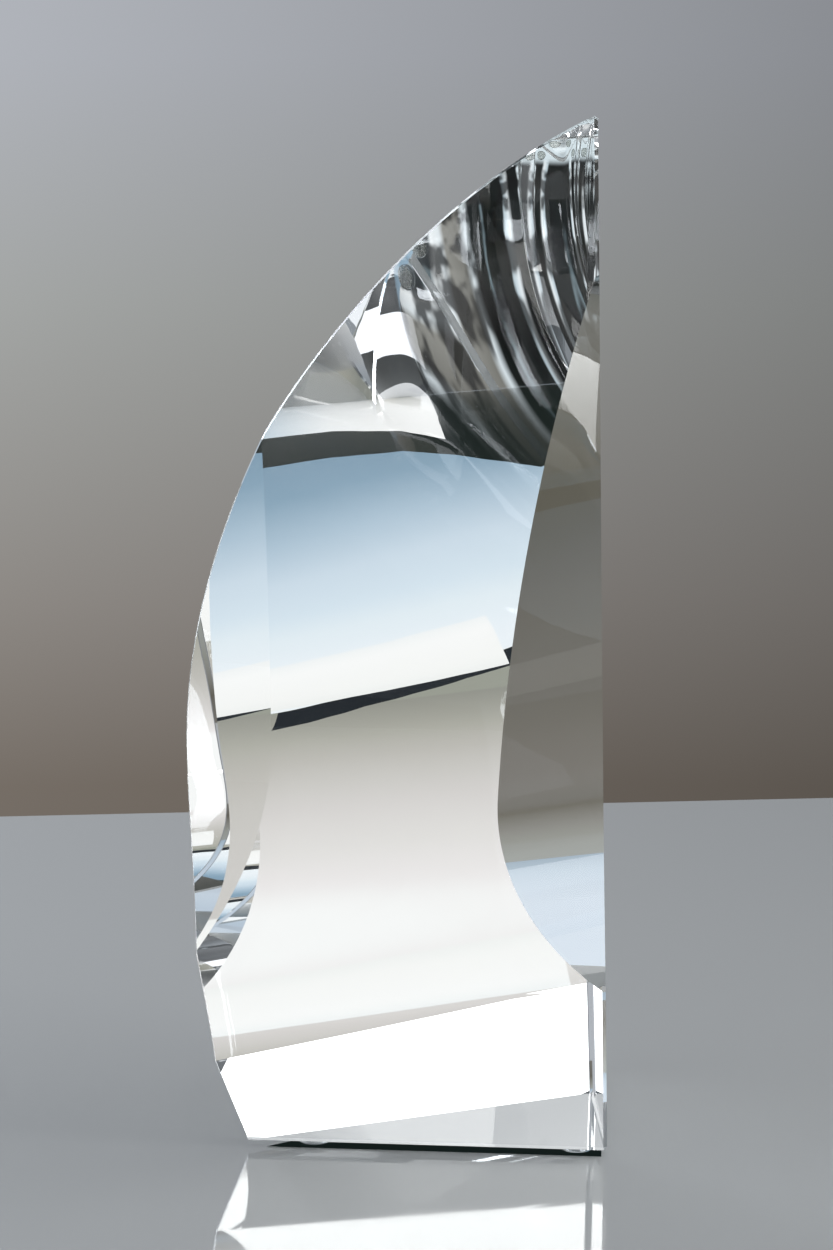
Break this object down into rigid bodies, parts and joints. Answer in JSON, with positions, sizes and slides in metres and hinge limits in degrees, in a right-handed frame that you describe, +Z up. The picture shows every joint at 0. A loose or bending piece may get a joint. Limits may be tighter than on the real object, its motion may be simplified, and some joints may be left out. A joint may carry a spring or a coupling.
{
  "type": "crystal award",
  "caption": "Tall clear crystal award: a solid three-sided sail with a pointed tip, hollow-ground facets and a flared base, standing on small clear bumper feet.",
  "frame": {"origin": "middle of the bounding box in plan, on the surface that the bumper feet stand on", "axes": "+X to the right along the flat front face, +Y away from the front face, +Z up towards the tip"},
  "size_m": [0.1038, 0.1148, 0.2523],
  "materials": {
    "optical_glass": "polished clear optical crystal",
    "clear_rubber": "smooth clear bumper rubber",
    "clear_adhesive": "thin clear adhesive film"
  },
  "bodies": {
    "root": {"crystal_body": "optical_glass", "bumper_front_right": "clear_rubber", "bumper_front_left": "clear_rubber", "bumper_back": "clear_rubber", "adhesive_front_right": "clear_adhesive", "adhesive_front_left": "clear_adhesive", "adhesive_back": "clear_adhesive"}
  },
  "joints": []
}
